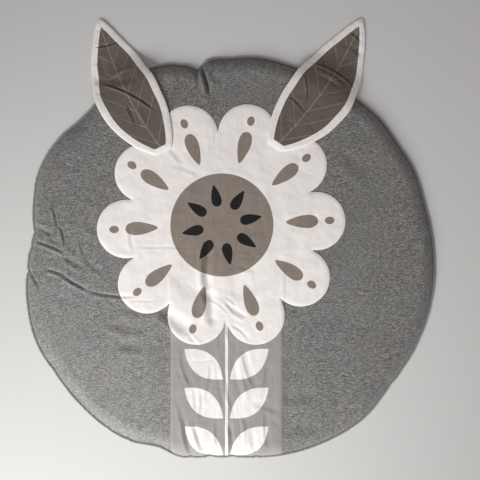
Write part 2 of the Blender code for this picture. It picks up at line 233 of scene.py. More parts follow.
# Folds in millimetres: start and end, how far the middle bows to the left of the straight
# line, half width, depth (less than zero for a ridge) and the share of it in a thin line
Fold = namedtuple("Fold", "start_x start_y end_x end_y bow width depth line")
PAD_FOLDS = (
    # Jersey at the left
    Fold(-450, 75, -404, 51, 2, 6, 2.8, 0.45),
    Fold(-428, 52, -388, 26, 3, 8, 1.4, 0.2),
    Fold(-460, 43, -374, 10, 4, 4.5, 3.4, 0.75),
    Fold(-380, 8, -336, -22, -2, 7, 1.8, 0.3),
    Fold(-426, -24, -374, -43, 3, 4.6, 2.6, 0.6),
    Fold(-384, -39, -326, -72, -2, 4.4, 3.8, 0.75),
    Fold(-334, -71, -214, -86, -6, 4.8, 2.2, 0.6),
    Fold(-408, 121, -397, 62, 3, 3.6, 3.0, 0.8),
    Fold(-390, 76, -378, 27, 2, 3.8, 3.6, 0.8),
    Fold(-344, 44, -332, 2, -3, 3.2, 2.4, 0.8),
    Fold(-332, 2, -292, -32, -4, 6, 1.2, 0.3),
    Fold(-468, -26, -438, -66, 2, 4.5, 3.8, 0.75),
    Fold(-452, 78, -424, 52, -2, 8, 2.2, 0.3),
    Fold(-440, 96, -424, 84, -2, 7, 1.6, 0.3),
    Fold(-280, -146, -186, -162, -4, 11, 1.3, 0.15),
    Fold(-266, -198, -186, -207, 4, 13, 1.3, 0.1),
    Fold(-255, -118, -205, -126, 2, 8, 1.0, 0.2),
    Fold(-330, 96, -296, 52, 3, 14, 0.9, 0.0),
    Fold(-226, 74, -222, 20, -3, 5, 1.3, 0.4),
    # Gather at the top of the rim
    Fold(-78, 468, -45, 370, 3, 5.6, 11.0, 0.7),
    Fold(-84, 452, -72, 384, 4, 6, 2.6, 0.4),
    Fold(-58, 452, -18, 404, -5, 9, 1.8, 0.2),
    Fold(-124, 448, -118, 396, 3, 9, 1.3, 0.2),
    # Middle of the mat
    Fold(-45, 36, -50, -76, -5, 10, 6.0, 0.2),
    Fold(-50, -68, -44, -156, 6, 12, 5.5, 0.15),
    Fold(-160, -108, -86, -164, -5, 15, 3.8, 0.05),
    Fold(-13, -92, 41, -137, -6, 6, 2.2, 0.4),
    Fold(-98, 40, -92, -120, 5, 22, 1.2, 0.0),
    Fold(6, 30, 14, -110, 4, 18, 1.0, 0.0),
    # Near the rim, below
    Fold(-103, -362, -88, -456, -4, 6, 3.2, 0.5),
    Fold(-80, -376, -48, -466, -5, 6, 3.0, 0.45),
    Fold(-2, -372, 4, -462, 4, 6, 3.2, 0.5),
    Fold(52, -392, 62, -456, -2, 7, 1.6, 0.3),
    Fold(24, -424, 28, -462, 1, 6, 1.4, 0.3),
    # Jersey at the right
    Fold(262, 248, 336, 196, -6, 20, 1.6, 0.0),
    Fold(124, -326, 200, -314, 5, 15, 2.0, 0.15),
    Fold(352, -310, 386, -284, 3, 8, 2.6, 0.4),
    Fold(300, 60, 372, 30, 6, 26, 0.8, 0.0),
    Fold(250, -120, 350, -170, -8, 30, 0.9, 0.0),
    Fold(150, -394, 214, -384, 4, 14, 1.2, 0.1),
)

# Creases of the white and grey cotton alone, in the same columns
COTTON_FOLDS = (
    # Puckers in the middle, below and to the right of the long trough
    Fold(-44, 38, -33, 14, 4, 4, 1.5, 0.5),
    Fold(-30, 40, -26, 22, -3, 4, 1.0, 0.5),
    Fold(18, 28, 8, 4, 2, 4, 1.0, 0.5),
    Fold(-50, -92, 4, -132, 5, 3.4, 1.5, 0.6),
    Fold(-12, -88, 16, -112, 3, 3.2, 1.3, 0.6),
    Fold(6, -106, 40, -134, -3, 3.2, 1.4, 0.6),
    Fold(0, -150, 44, -186, 4, 3.4, 2.0, 0.6),
    Fold(-14, -150, -12, -196, 2, 3.5, -0.9, 0.4),
    Fold(-4, -156, 4, -200, -2, 3.5, 1.1, 0.5),
    Fold(-24, -160, -26, -206, 2, 3.5, 0.9, 0.5),
    Fold(-92, -174, -64, -204, 3, 4, -1.0, 0.4),
    Fold(-102, -166, -82, -196, 3, 4, 0.8, 0.4),
    Fold(10, 10, 52, 4, 3, 5, -0.7, 0.3),
    Fold(14, -14, 60, -26, -2, 6, 0.7, 0.3),
    # Pressed fold lines from the packing
    Fold(-222, 26, -60, 24, 1, 3.5, 0.7, 0.5),
    Fold(-255, -94, -165, -97, -1, 3.5, 0.7, 0.5),
    Fold(-34, -230, -32, -285, 1, 3, 0.6, 0.5),
    Fold(-36, 352, -34, 250, 1, 4, 0.6, 0.4),
    # Soft upright waves of the white cotton
    Fold(-70, 300, -76, 130, 3, 14, 0.9, 0.1),
    Fold(92, 262, 112, 90, -6, 18, 1.0, 0.1),
    Fold(60, 190, 70, 40, 4, 14, 0.8, 0.1),
    Fold(-180, 180, -190, 40, 5, 16, 0.8, 0.1),
    Fold(-152, 262, -104, 214, 4, 7, 1.0, 0.3),
    Fold(150, 60, 156, -60, -5, 14, 0.8, 0.1),
    Fold(-128, 214, -60, 186, 3, 6, 0.6, 0.3),
    # The stem panel
    Fold(-108, -214, -84, -292, -6, 6, 2.4, 0.4),
    Fold(-84, -292, -78, -350, 3, 5, 1.7, 0.4),
    Fold(34, -206, 64, -300, -5, 7, 2.7, 0.4),
    Fold(20, -214, 42, -330, -4, 8, -2.0, 0.3),
    Fold(88, -240, 74, -330, 4, 7, 1.7, 0.3),
    Fold(-42, -240, -58, -330, 4, 5, 1.9, 0.4),
    Fold(-20, -250, -6, -340, -3, 5, -1.5, 0.4),
    Fold(-8, -262, 10, -360, -4, 4, 1.7, 0.5),
    Fold(-66, -300, -68, -372, 3, 5, 1.7, 0.4),
    Fold(-118, -330, -104, -420, 4, 6, 1.7, 0.3),
    Fold(84, -350, 92, -440, -3, 6, 2.0, 0.3),
    Fold(26, -360, 34, -444, 2, 5, -1.7, 0.4),
    Fold(-30, -372, -24, -446, -2, 5, 1.9, 0.4),
    Fold(44, -330, 112, -352, 6, 8, 1.5, 0.2),
)

# The two leaf flaps in millimetres, from the base on the daisy to the tip on the floor
Flap = namedtuple("Flap", "name base_x base_y tip_x tip_y half_width bow folds")
FLAPS = (
    Flap("leaf_flap_left", -150, 243, -306, 557, 73, 18, (
        Fold(-296, 404, -166, 336, 7, 3.6, 4.0, 0.8),
        Fold(-330, 424, -214, 420, -14, 11, 2.0, 0.1),
        Fold(-318, 492, -262, 506, -4, 3.4, 3.2, 0.8),
        Fold(-284, 410, -226, 440, 4, 5, -2.0, 0.3),
        Fold(-300, 470, -286, 420, -4, 8, 1.8, 0.2),
        Fold(-236, 352, -214, 300, 3, 5, 2.4, 0.6),
        Fold(-206, 340, -190, 296, -2, 6, -1.6, 0.3),
        Fold(-262, 536, -236, 500, 2, 4, 1.8, 0.6),
    )),
    Flap("leaf_flap_right", 101, 254, 308, 558, 75, -20, (
        Fold(186, 454, 290, 392, 10, 3.6, 3.8, 0.8),
        Fold(196, 432, 262, 392, 6, 7, -1.8, 0.2),
        Fold(170, 426, 176, 352, 5, 3.6, 3.4, 0.7),
        Fold(196, 400, 174, 330, -3, 7, 1.8, 0.2),
        Fold(136, 372, 172, 332, 3, 4, 2.2, 0.6),
        Fold(280, 526, 304, 506, 2, 4, 2.8, 0.7),
        Fold(262, 500, 312, 470, 5, 8, 1.7, 0.2),
        Fold(150, 330, 136, 290, -2, 6, -1.5, 0.3),
    )),
)


def smooth_rise(value):
    """0 to 1, level at both ends."""
    value = np.clip(value, 0.0, 1.0)
    return value * value * (3.0 - 2.0 * value)


def ridge(distance, middle, width):
    """1 along a line at some distance, running out softly to both sides."""
    return np.exp(-((distance - middle) / width) ** 2)


def waves(x, y, length, seed, count=7):
    """An even, seeded mix of long waves between about -1 and 1."""
    draw = np.random.RandomState(seed)
    total = np.zeros_like(x)
    for _ in range(count):
        heading = draw.uniform(0.0, math.pi)
        pitch = 2.0 * math.pi / (length * draw.uniform(0.7, 1.5))
        shift = draw.uniform(0.0, 2.0 * math.pi)
        total += np.sin(pitch * (x * math.cos(heading) + y * math.sin(heading)) + shift)
    return total / math.sqrt(2.0 * count)


def rim_radius(angle):
    """Outer radius at angles in radians: a smooth closed curve through the rows of RIM."""
    degrees = np.degrees(angle) % 360.0
    angles = np.array([row.angle for row in RIM], dtype=float)
    radii = np.array([row.radius for row in RIM], dtype=float)
    angles = np.concatenate((angles[-2:] - 360.0, angles, angles[:2] + 360.0))
    radii = np.concatenate((radii[-2:], radii, radii[:2]))
    after = np.searchsorted(angles, degrees, side="right")
    before = after - 1
    span = angles[after] - angles[before]
    share = (degrees - angles[before]) / span
    blend = smooth_rise(share)
    radius = radii[before] * (1.0 - blend) + radii[after] * blend

    def slope(first, last):
        return (radii[last] - radii[first]) / (angles[last] - angles[first]) * span

    radius += slope(before - 1, after) * share * (1.0 - share) ** 2
    radius -= slope(before, after + 1) * share ** 2 * (1.0 - share)
    for pinch in PINCHES:
        aside = np.abs((degrees - pinch.angle + 180.0) % 360.0 - 180.0)
        radius -= pinch.depth * np.exp(-aside / pinch.width)
    return radius * MM


def rim_inset(x, y):
    """How far points lie inside the mat's outer edge, less than zero outside it."""
    return rim_radius(np.arctan2(y, x)) - np.hypot(x, y)


def fold_route(fold, steps=10):
    """Points along a fold's bowed centre line, as two arrays."""
    share = np.linspace(0.0, 1.0, steps + 1)
    length = math.hypot(fold.end_x - fold.start_x, fold.end_y - fold.start_y)
    side_x = -(fold.end_y - fold.start_y) / length
    side_y = (fold.end_x - fold.start_x) / length
    bow = fold.bow * 4.0 * share * (1.0 - share)
    x = fold.start_x + (fold.end_x - fold.start_x) * share + side_x * bow
    y = fold.start_y + (fold.end_y - fold.start_y) * share + side_y * bow
    return x * MM, y * MM


def add_fold(fold, x, y, height):
    """Press one fold into the heights: a soft trough, a thin line in it and uneven shoulders."""
    route_x, route_y = fold_route(fold)
    width = fold.width * MM
    reach = FOLD_REACH * width
    near = (x > route_x.min() - reach) & (x < route_x.max() + reach)
    near &= (y > route_y.min() - reach) & (y < route_y.max() + reach)
    if not near.any():
        return
    px, py = x[near], y[near]
    nearest = np.full(px.shape, 1.0)
    where = np.zeros(px.shape)
    towards = np.zeros(px.shape)
    for step in range(len(route_x) - 1):
        leg_x = route_x[step + 1] - route_x[step]
        leg_y = route_y[step + 1] - route_y[step]
        share = (px - route_x[step]) * leg_x + (py - route_y[step]) * leg_y
        share = np.clip(share / (leg_x ** 2 + leg_y ** 2), 0.0, 1.0)
        off_x = px - route_x[step] - leg_x * share
        off_y = py - route_y[step] - leg_y * share
        distance = np.hypot(off_x, off_y)
        closer = distance < nearest
        nearest[closer] = distance[closer]
        where[closer] = (step + share[closer]) / (len(route_x) - 1)
        towards[closer] = (off_x[closer] * PUSHED_X + off_y[closer] * PUSHED_Y) / width
    ends = smooth_rise(FOLD_RUN_OUT * np.minimum(where, 1.0 - where) + FOLD_END_SHARE)
    share = nearest / width
    trough = (1.0 - fold.line) * np.exp(-share ** 2)
    trough += fold.line * np.exp(-share * FOLD_LINE_STEEP)
    shoulder = FOLD_SHOULDER + FOLD_SHOULDER_LEAN * np.tanh(2.0 * towards)
    shoulder *= np.exp(-((share - FOLD_SHOULDER_PLACE) * FOLD_SHOULDER_NARROW) ** 2)
    height[near] -= fold.depth * MM * ends * (trough - shoulder)


def pad_height(x, y, creased=True):
    """The pad's upper side: a crown that is drawn in at the rim, uneven, with its folds."""
    inset = rim_inset(x, y) - LIP_WIDTH
    share = np.clip(inset / SHOULDER, 0.0, 1.0)
    rise = (1.0 - (1.0 - share) ** CROWN_FULL) ** CROWN_SOFT
    height = UNEVEN * np.sin(UNEVEN_X * x + UNEVEN_X_START)
    height *= np.cos(UNEVEN_Y * y + UNEVEN_Y_START)
    if creased:
        height += SWELL * waves(x, y, 110.0 * MM, 4) + RIPPLE * waves(x, y, 34.0 * MM, 9)
        for fold in PAD_FOLDS:
            add_fold(fold, x, y, height)
    height = SEAM_HEIGHT + rise * (PAD_HEIGHT - SEAM_HEIGHT + height)
    if creased:
        around = np.arctan2(y, x) * MEAN_RADIUS
        none = np.zeros_like(around)
        pull = 0.6 * waves(around, none, 15.0 * MM, 21) + 0.6 * waves(around, none, 34.0 * MM, 23)
        uneven = 0.75 + 0.35 * waves(around, none, 260.0 * MM, 5) + 0.5 * smooth_rise(-x / 0.4)
        fade = np.exp(-inset / PUCKER_REACH) * smooth_rise(inset / (4.0 * MM) + 0.2)
        height += PUCKER * pull * uneven * fade
    return height


def petal_radius(angle):
    """The daisy's cut edge as a radius about its centre."""
    turn = (angle - PETAL_TURN) / (2.0 * math.pi / PETALS)
    wave = (np.cos(math.pi * turn) ** 2 + VALLEY_ROUNDNESS ** 2) ** (0.5 * PETAL_ROUNDNESS)
    petal = np.round(turn) % PETALS
    tip = PETAL_TIP * (1.0 + PETAL_UNEVEN * np.sin(PETAL_UNEVEN_STEP * petal))
    return PETAL_VALLEY + (tip - PETAL_VALLEY) * wave


def stem_cover(x, y):
    """1 where the stem panel lies under the daisy, running out softly round it."""
    right_of = smooth_rise((x - STEM_LEFT) / STEM_SIDE_SOFT + 1.0)
    left_of = smooth_rise((STEM_RIGHT - x) / STEM_SIDE_SOFT + 1.0)
    beyond = np.hypot(x - FLOWER_X, y - FLOWER_Y) - STEM_TOP_RADIUS
    return right_of * left_of * smooth_rise(beyond / STEM_TOP_SOFT + 1.0) * (y < FLOWER_Y)


def outline_tree(line_x, line_y):
    """A search tree over the points of a finely stepped outline."""
    tree = KDTree(len(line_x))
    for number, place in enumerate(zip(line_x, line_y)):
        tree.insert((*place, 0.0), number)
    tree.balance()
    return tree


def outline_distance(x, y, line_x, line_y):
    """Distance from points to the nearest point of a finely stepped outline."""
    tree = outline_tree(line_x, line_y)
    return np.array([tree.find((*place, 0.0))[2] for place in zip(x, y)])


def daisy_outline():
    """The daisy's cut edge as two arrays."""
    angle = np.linspace(0.0, 2.0 * math.pi, OUTLINE_STEPS)
    radius = petal_radius(angle)
    return FLOWER_X + radius * np.cos(angle), FLOWER_Y + radius * np.sin(angle)


def crumple(x, y, length, seed):
    """Thin wandering crease lines that come and go, 0 to 1, as in washed cotton."""
    line = waves(x, y, length, seed)
    present = smooth_rise(1.6 * waves(x, y, 0.7 * length, seed + 1) - 0.1)
    return ridge(line, 0.0, 0.10) * present


def cotton_creases(x, y):
    """Creases of the cotton panels, over and above the pad's own, never below the pad."""
    height = 0.35 * MM * waves(x, y, 52.0 * MM, 31) + 0.12 * MM * waves(x, y, 17.0 * MM, 33)
    height -= 0.50 * MM * crumple(x, y, 120.0 * MM, 35) + 0.35 * MM * crumple(x, y, 60.0 * MM, 37)
    for fold in COTTON_FOLDS:
        add_fold(fold, x, y, height)
    return height


# Meshes

def start_grid(name, columns, rows):
    """A flat grid two units wide, to be laid out and shaped."""
    bpy.ops.object.select_all(action="DESELECT")
    bpy.ops.mesh.primitive_grid_add(x_subdivisions=columns, y_subdivisions=rows, size=2.0)
    piece = bpy.context.object
    piece.name = name
    piece.data.name = name
    return piece


def read_points(piece):
    points = np.empty(len(piece.data.vertices) * 3)
    piece.data.vertices.foreach_get("co", points)
    return points.reshape(-1, 3)


def write_points(piece, points):
    piece.data.vertices.foreach_set("co", np.ascontiguousarray(points).ravel())
    piece.data.update()


def write_sides(piece, x, y, low, high):
    """Place a thickened sheet's underside and upper side over the same points in plan."""
    z = np.concatenate((low, high))
    write_points(piece, np.stack((np.tile(x, 2), np.tile(y, 2), z), axis=1))


def to_disc(points):
    """Round a square grid into a disc of radius 1, with no pinched pole."""
    x = points[:, 0] * np.sqrt(1.0 - 0.5 * points[:, 1] ** 2)
    y = points[:, 1] * np.sqrt(1.0 - 0.5 * points[:, 0] ** 2)
    return np.minimum(np.hypot(x, y), 1.0), np.arctan2(y, x)


def thicken(piece):
    """Give a flat sheet its second side and its edge, to be shaped afterwards."""
    solid = piece.modifiers.new("thickness", "SOLIDIFY")
    solid.thickness = 1.0 * MM
    solid.offset = 1.0
    solid.use_even_offset = False
    bpy.context.view_layer.objects.active = piece
    bpy.ops.object.modifier_apply(modifier=solid.name)


def extrude_edge(times):
    """Extrude the active sheet's outer edge, to be shaped afterwards, and close its end."""
    bpy.ops.object.mode_set(mode="EDIT")
    bpy.ops.mesh.select_mode(type="EDGE")
    bpy.ops.mesh.select_all(action="SELECT")
    bpy.ops.mesh.region_to_loop()
    for _ in range(times):
        bpy.ops.mesh.extrude_region_move(TRANSFORM_OT_translate={"value": (0.0, 0.0, -1.0 * MM)})
    bpy.ops.mesh.edge_face_add()
    bpy.ops.object.mode_set(mode="OBJECT")


def top_of(piece):
    """A function that gives the height of a piece's upper side at points in plan."""
    faces = [tuple(face.vertices) for face in piece.data.polygons]
    tree = BVHTree.FromPolygons([tuple(place) for place in read_points(piece)], faces)
    above = 0.2

    def height(x, y):
        hits = [tree.ray_cast((*place, above), (0.0, 0.0, -1.0))[0] for place in zip(x, y)]
        return np.array([0.0 if hit is None else hit.z for hit in hits])
    return height


def finish_piece(piece, material):
    """Turn the faces outwards, shade the piece, dress it and let it ride on the mat."""
    bpy.ops.object.select_all(action="DESELECT")
    piece.select_set(True)
    bpy.context.view_layer.objects.active = piece
    bpy.ops.object.mode_set(mode="EDIT")
    bpy.ops.mesh.select_all(action="SELECT")
    bpy.ops.mesh.normals_make_consistent(inside=False)
    bpy.ops.object.mode_set(mode="OBJECT")
    bpy.ops.object.shade_smooth_by_angle(angle=SMOOTH_ANGLE)
    piece.data.materials.clear()
    piece.data.materials.append(material)
    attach(piece, "root")
    return piece


def make_pad(material):
    """The filled jersey top: a round grid, crowned and creased, turned down to a flat floor."""
    pad = start_grid("pad_jersey", PAD_CELLS, PAD_CELLS)
    points = read_points(pad)
    points[:, 0] -= PAD_CROWDING * (1.0 - points[:, 0] ** 2)
    ring, angle = to_disc(points)
    radius = ring ** RING_CROWDING * (rim_radius(angle) - LIP_WIDTH - GAP)
    points[:, 0] = radius * np.cos(angle)
    points[:, 1] = radius * np.sin(angle)
    points[:, 2] = pad_height(points[:, 0], points[:, 1])
    write_points(pad, points)
    upper = len(points)
    extrude_edge(1)
    points = read_points(pad)
    points[upper:, 2] = PAD_FLOOR
    write_points(pad, points)
    finish_piece(pad, material)
    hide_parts("mat_pad")
    return pad


def make_back(material):
    """The back panel: a flat round sheet with its edge turned up as a puckered, sewn lip."""
    bpy.ops.object.select_all(action="DESELECT")
    bpy.ops.mesh.primitive_circle_add(vertices=RIM_STEPS, radius=0.45, fill_type="NGON")
    back = bpy.context.object
    back.name = back.data.name = "back_cloth"
    extrude_edge(len(LIP_PROFILE) - 1)
    points = read_points(back)
    for row, lip in enumerate(LIP_PROFILE):
        loop = points[row * RIM_STEPS:(row + 1) * RIM_STEPS]
        angle = np.arctan2(loop[:, 1], loop[:, 0])
        around = angle * MEAN_RADIUS
        pull = waves(around, np.zeros_like(around), 11.0 * MM, 41)
        slack = waves(around, np.zeros_like(around), 60.0 * MM, 43)
        radius = rim_radius(angle) - lip.inset + lip.pucker * MM * (0.25 * pull + 0.35 * slack)
        loop[:, 0] = radius * np.cos(angle)
        loop[:, 1] = radius * np.sin(angle)
        loop[:, 2] = lip.height + lip.pucker * 0.35 * MM * pull * (lip.height > 2.0 * MM)
    write_points(back, points)
    finish_piece(back, material)
    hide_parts("back_panel")
    return back


def lay_panel(piece, x, y, edge, lift=0.0, below=0.0):
    """Lay a thickened panel on the pad: both sides follow it, the hem stands a little proud."""
    creases = np.maximum(cotton_creases(x, y) + COTTON_STAND, 0.0)
    stand = COTTON_EDGE_STAND + creases * smooth_rise(edge / CREASE_RUN_OUT)
    low = np.maximum(pad_height(x, y) + GAP + lift + stand, below + GAP)
    thick = COTTON_THICKNESS + HEM_HEIGHT * ridge(edge, HEM_INSET, HEM_WIDTH)
    thick -= ROUNDING_DEPTH * (1.0 - smooth_rise(edge / ROUNDING_WIDTH))
    thick -= STITCH_DEPTH * ridge(edge, STITCH_INSET, STITCH_GROOVE)
    write_sides(piece, x, y, low, low + thick)


def delete_faces(piece, chosen):
    """Delete the chosen faces of a piece, and select the corners on its new edge."""
    bpy.ops.object.mode_set(mode="EDIT")
    bpy.ops.mesh.select_mode(type="FACE")
    bpy.ops.mesh.select_all(action="DESELECT")
    bpy.ops.object.mode_set(mode="OBJECT")
    piece.data.polygons.foreach_set("select", chosen)
    bpy.ops.object.mode_set(mode="EDIT")
    bpy.ops.mesh.delete(type="FACE")
    bpy.ops.mesh.select_mode(type="VERT")
    bpy.ops.mesh.select_all(action="SELECT")
    bpy.ops.mesh.region_to_loop()
    bpy.ops.object.mode_set(mode="OBJECT")


def face_corners(piece):
    """The corners of a grid's faces in plan, four to a row."""
    corners = np.empty(len(piece.data.loops), dtype=np.int32)
    piece.data.loops.foreach_get("vertex_index", corners)
    return read_points(piece)[corners.reshape(-1, 4), :2]


def cut_to_outline(piece, inside, line_x, line_y):
    """Delete a flat grid's faces outside an outline, then draw its new edge onto the outline."""
    tree = outline_tree(line_x, line_y)
    corners = face_corners(piece)
    least_area = 0.15 * piece.data.polygons[0].area
    middles = corners.mean(axis=1)
    unwanted = ~inside(middles[:, 0], middles[:, 1])
    while unwanted.any():
        delete_faces(piece, unwanted)
        for corner in piece.data.vertices:
            if corner.select:
                corner.co.xy = tree.find(corner.co)[0].xy
        corners = face_corners(piece)
        across = corners[:, 2] - corners[:, 0]
        other = corners[:, 3] - corners[:, 1]
        area = 0.5 * (across[:, 0] * other[:, 1] - across[:, 1] * other[:, 0])
        unwanted = area < least_area


def in_daisy(x, y):
    """Whether points lie inside the daisy's cut edge."""
    angle = np.arctan2(y - FLOWER_Y, x - FLOWER_X)
    return np.hypot(x - FLOWER_X, y - FLOWER_Y) < petal_radius(angle)


def make_daisy(material, stem_top):
    """The white cotton daisy, sewn over the top of the stem panel."""
    daisy = start_grid("daisy_cotton", DAISY_CELLS, DAISY_CELLS)
    points = read_points(daisy)
    past_tips = 1.03
    points[:, :2] *= past_tips * PETAL_TIP
    points[:, :2] += (FLOWER_X, FLOWER_Y)
    write_points(daisy, points)
    outline = daisy_outline()
    cut_to_outline(daisy, in_daisy, *outline)
    points = read_points(daisy)
    thicken(daisy)
    x, y = points[:, 0], points[:, 1]
    over_stem = COTTON_THICKNESS + 0.5 * MM
    lift = stem_cover(x, y) * over_stem
    lay_panel(daisy, x, y, outline_distance(x, y, *outline), lift, stem_top(x, y))
    finish_piece(daisy, material)
    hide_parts("daisy_panel")
    return daisy


def make_stem(material):
    """The grey cotton panel from under the daisy to the seam at the rim."""
    stem = start_grid("stem_cotton", STEM_COLUMNS, STEM_ROWS)
    points = read_points(stem)
    thicken(stem)
    across = 0.5 * (points[:, 0] + 1.0)
    down = 0.5 * (1.0 - points[:, 1])
    x = STEM_LEFT + (STEM_RIGHT - STEM_LEFT) * across
    rim = -0.45 * np.ones_like(x)
    closing_in = 12
    for _ in range(closing_in):
        rim -= rim_inset(x, rim) - (LIP_WIDTH + GAP + STEM_END_INSET)
    top = FLOWER_Y - np.sqrt(STEM_TOP_RADIUS ** 2 - (x - FLOWER_X) ** 2)
    y = top + (rim - top) * down
    seam_allowance = 6.0 * MM
    edge = np.minimum(np.minimum(x - STEM_LEFT, STEM_RIGHT - x), y - rim + seam_allowance)
    lay_panel(stem, x, y, edge)
    finish_piece(stem, material)
    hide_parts("stem_panel")
    return stem


def flap_under(x, y):
    """Height of a flap's underside: on the mat, over its rim in a soft slope, on the floor."""
    inset = rim_inset(x, y)
    slope = smooth_rise((inset - FLAP_LANDING) / (FLAP_LIFTOFF - FLAP_LANDING))
    height = (PAD_HEIGHT + FLAP_LIFT) * slope
    on_mat = pad_height(x, y, creased=False) + FLAP_LIFT
    return np.where(inset > LIP_WIDTH, np.maximum(height, on_mat), height)


def flap_axes(flap):
    """A flap's base, its length, and its directions along and aside."""
    base = np.array((flap.base_x, flap.base_y)) * MM
    reach = np.array((flap.tip_x, flap.tip_y)) * MM - base
    length = np.hypot(*reach)
    along = reach / length
    return base, length, along, np.array((-along[1], along[0]))


def flap_plan(flap, share, across):
    """Where a flap's points lie in plan, its length, its half width, and how far across."""
    base, length, along, side = flap_axes(flap)
    belly = np.sin(math.pi * np.clip(share, 1e-6, 1.0) ** FLAP_BELLY_PLACE) ** FLAP_BELLY_FULL
    belly = np.nan_to_num(np.where(share >= 1.0, 0.0, belly))
    half = FLAP_BASE_HALF + (FLAP_TIP_HALF - FLAP_BASE_HALF) * share
    half += (flap.half_width * MM - FLAP_PLAIN_HALF) * belly
    half += FLAP_UNEVEN * waves(share * length, across * 0.02, 70.0 * MM, 61) * belly
    spread = np.sin(across * math.pi / 2.0)
    sideways = flap.bow * MM * 4.0 * share * (1.0 - share) + half * spread
    x = base[0] + along[0] * length * share + side[0] * sideways
    y = base[1] + along[1] * length * share + side[1] * sideways
    return x, y, length, half, spread


def make_flap(flap, material):
    """A padded leaf: two cotton sides, thin wadding, a sewn edge and pressed creases."""
    piece = start_grid(flap.name.replace("flap", "padding"), FLAP_COLUMNS, FLAP_ROWS)
    points = read_points(piece)
    thicken(piece)
    share = 0.5 * (points[:, 1] + 1.0)
    across = -points[:, 0]
    x, y, length, half, spread = flap_plan(flap, share, across)
    along = share * length
    end_edge = np.minimum(share, 1.0 - share) * length + FLAP_END
    edge = np.minimum(half * (1.0 - np.abs(spread)), end_edge)
    relief = np.zeros_like(x)
    for fold in flap.folds:
        add_fold(fold, x, y, relief)
    relief += 0.35 * MM * waves(x, y, 40.0 * MM, 71) + 0.12 * MM * waves(x, y, 13.0 * MM, 73)
    relief -= 0.7 * MM * crumple(x, y, 70.0 * MM, 75)
    relief *= smooth_rise(edge / CREASE_RUN_OUT)
    filled = np.sqrt(np.clip(1.0 - across ** 2, 0.0, 1.0))
    filled *= smooth_rise(end_edge / FLAP_FILL_RUN)
    thick = FLAP_EDGE + (FLAP_MIDDLE - FLAP_EDGE) * filled
    thick -= FLAP_ROUNDING_DEPTH * (1.0 - smooth_rise(edge / FLAP_ROUNDING_WIDTH))
    thick -= FLAP_SEAM_DEPTH * ridge(edge, FLAP_SEAM_INSET, 1.0 * MM)
    pucker = waves(along * np.sign(across), np.zeros_like(x), 13.0 * MM, 77)
    thick += FLAP_PUCKER * pucker * np.exp(-edge / FLAP_PUCKER_REACH)
    under = flap_under(x, y)
    low = under + 0.5 * MM * (1.0 - smooth_rise(edge / ROUNDING_WIDTH))
    high = np.maximum(under + thick + relief, low + FLAP_LEAST)
    write_sides(piece, x, y, low, high)
    mark_across(piece, np.tile(along, 2), np.tile(edge, 2), np.tile(half * spread, 2))
    finish_piece(piece, material)
    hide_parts(flap.name)
    return piece


def mark_across(piece, along, edge, sideways):
    """Two UV maps for the flap's print: along and in from the edge, and along and sideways."""
    loops = np.empty(len(piece.data.loops), dtype=np.int32)
    piece.data.loops.foreach_get("vertex_index", loops)
    for name, second in (("edge_map", edge), ("side_map", sideways)):
        layer = piece.data.uv_layers.get(name) or piece.data.uv_layers.new(name=name)
        pairs = np.stack((along[loops], second[loops]), axis=1)
        layer.data.foreach_set("uv", pairs.astype(np.float32).ravel())


# Sewing

def sew(name, x, y, z, thread):
    """A row of stitches along a route, each a short run of thread that dips at its ends."""
    steps = np.concatenate(([0.0], np.cumsum(np.hypot(np.diff(x), np.diff(y)))))
    count = int(steps[-1] / (STITCH_LENGTH + STITCH_SPACE))
    bpy.ops.object.select_all(action="DESELECT")
    bpy.ops.mesh.primitive_cylinder_add(vertices=6, radius=1.0, depth=2.0, end_fill_type="TRIFAN")
    row = bpy.context.object
    row.name = row.data.name = name
    bpy.ops.object.mode_set(mode="EDIT")
    for cut in (0.5, -0.5):
        bpy.ops.mesh.select_all(action="SELECT")
        bpy.ops.mesh.bisect(plane_co=(0.0, 0.0, cut), plane_no=(0.0, 0.0, 1.0))
    bpy.ops.object.mode_set(mode="OBJECT")
    one = read_points(row)
    bend = one[:, 2] ** 2
    thick = THREAD_RADIUS * (1.0 - THREAD_TAPER * bend)
    stitch = (one[:, 2] * 0.5 * STITCH_LENGTH, one[:, 0] * thick,
              one[:, 1] * thick - 0.5 * THREAD_RADIUS * bend)
    write_points(row, np.stack(stitch, axis=1))

    def point_at(distance):
        return Vector(np.interp(distance, steps, values) for values in (x, y, z))

    joined = bmesh.new()
    for number in range(count):
        middle = (number + 0.5) * steps[-1] / count
        start = point_at(middle - 0.5 * STITCH_LENGTH)
        end = point_at(middle + 0.5 * STITCH_LENGTH)
        turn = (end - start).to_track_quat("X", "Z").to_matrix().to_4x4()
        place = Matrix.Translation(point_at(middle)) @ turn
        before = len(joined.verts)
        joined.from_mesh(row.data)
        joined.verts.ensure_lookup_table()
        bmesh.ops.transform(joined, matrix=place, verts=joined.verts[before:])
    joined.to_mesh(row.data)
    joined.free()
    return finish_piece(row, thread)


def sew_daisy(thread, height):
    """Edge stitching all round the daisy, broken only where it would cross itself."""
    line_x, line_y = daisy_outline()
    tangent_x, tangent_y = np.gradient(line_x), np.gradient(line_y)
    length = np.hypot(tangent_x, tangent_y)
    x = line_x - STITCH_INSET * tangent_y / length
    y = line_y + STITCH_INSET * tangent_x / length
    nearly = 0.93
    clear = outline_distance(x, y, line_x, line_y) > nearly * STITCH_INSET
    starts = np.flatnonzero(clear & ~np.roll(clear, 1))
    for number, start in enumerate(starts):
        run = np.roll(clear, -start)
        last = int(np.argmin(run)) if not run.all() else len(run)
        if last < SHORTEST_RUN:
            continue
        run_x, run_y = np.roll(x, -start)[:last:6], np.roll(y, -start)[:last:6]
        name = f"petal_stitching_{number + 1}"
        sew(name, run_x, run_y, height(run_x, run_y), thread)


